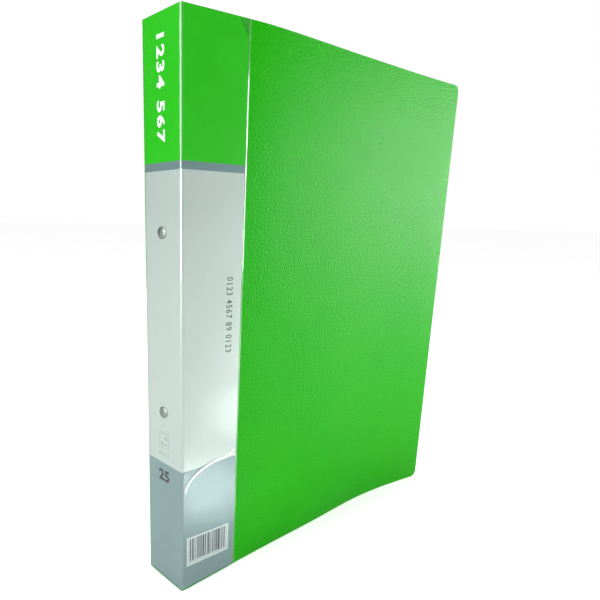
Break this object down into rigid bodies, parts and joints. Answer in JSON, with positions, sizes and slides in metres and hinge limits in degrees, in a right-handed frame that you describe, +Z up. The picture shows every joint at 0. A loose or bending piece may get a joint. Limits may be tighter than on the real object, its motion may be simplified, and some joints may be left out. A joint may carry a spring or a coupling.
{
  "type": "ring binder",
  "caption": "Creased plastic ring file for foolscap paper, with snap rings riveted inside the spine and a clear label pocket outside.",
  "frame": {"origin": "centre of the spine's bottom face, in the middle of the sheet's thickness", "axes": "+Z up the spine, +X from the spine into the file, +Y towards the back cover"},
  "size_m": [0.2469, 0.1496, 0.345],
  "materials": {
    "green_sheet": "fine embossed matte polypropylene",
    "printed_card": "coated card printed in green, silver and grey bands",
    "clear_film": "clear glossy film, welded at its edges",
    "nickel_plate": "bright nickel plate",
    "sheet_steel": "zinc-plated sheet steel",
    "nickel_wire": "bright nickel-plated wire",
    "rivet_metal": "dull grey plated steel"
  },
  "bodies": {
    "spine": {"spine_panel": "green_sheet", "front_crease_web": "green_sheet", "back_crease_web": "green_sheet", "spine_label": "printed_card", "spine_pocket_film": "clear_film", "ring_housing": "nickel_plate", "lower_post": "nickel_plate", "upper_post": "nickel_plate", "lower_rivet": "rivet_metal", "upper_rivet": "rivet_metal"},
    "front": {"front_cover": "green_sheet", "cover_label": "printed_card", "cover_pocket_film": "clear_film"},
    "back": {"back_cover": "green_sheet"},
    "front_rings": {"front_blade": "sheet_steel", "lower_front_ring": "nickel_wire", "upper_front_ring": "nickel_wire"},
    "back_rings": {"back_blade": "sheet_steel", "lower_back_ring": "nickel_wire", "upper_back_ring": "nickel_wire"}
  },
  "joints": [
    {"name": "front_crease", "type": "hinge", "parent": "spine", "child": "front", "pos_m": [0, -0.01625, 0], "axis": [0, 0, -1], "range_deg": [-14, 166]},
    {"name": "back_crease", "type": "hinge", "parent": "spine", "child": "back", "pos_m": [0, 0.01625, 0], "axis": [0, 0, 1], "range_deg": [-12, 168]},
    {"name": "front_ring_pivot", "type": "hinge", "parent": "spine", "child": "front_rings", "pos_m": [0.0021, -0.00705, 0.1725], "axis": [0, 0, -1], "range_deg": [0, 9]},
    {"name": "back_ring_pivot", "type": "hinge", "parent": "spine", "child": "back_rings", "pos_m": [0.0021, 0.00705, 0.1725], "axis": [0, 0, 1], "range_deg": [0, 9]}
  ],
  "couplings": [
    {"joint": "back_ring_pivot", "follows": "front_ring_pivot", "ratio": 1}
  ]
}
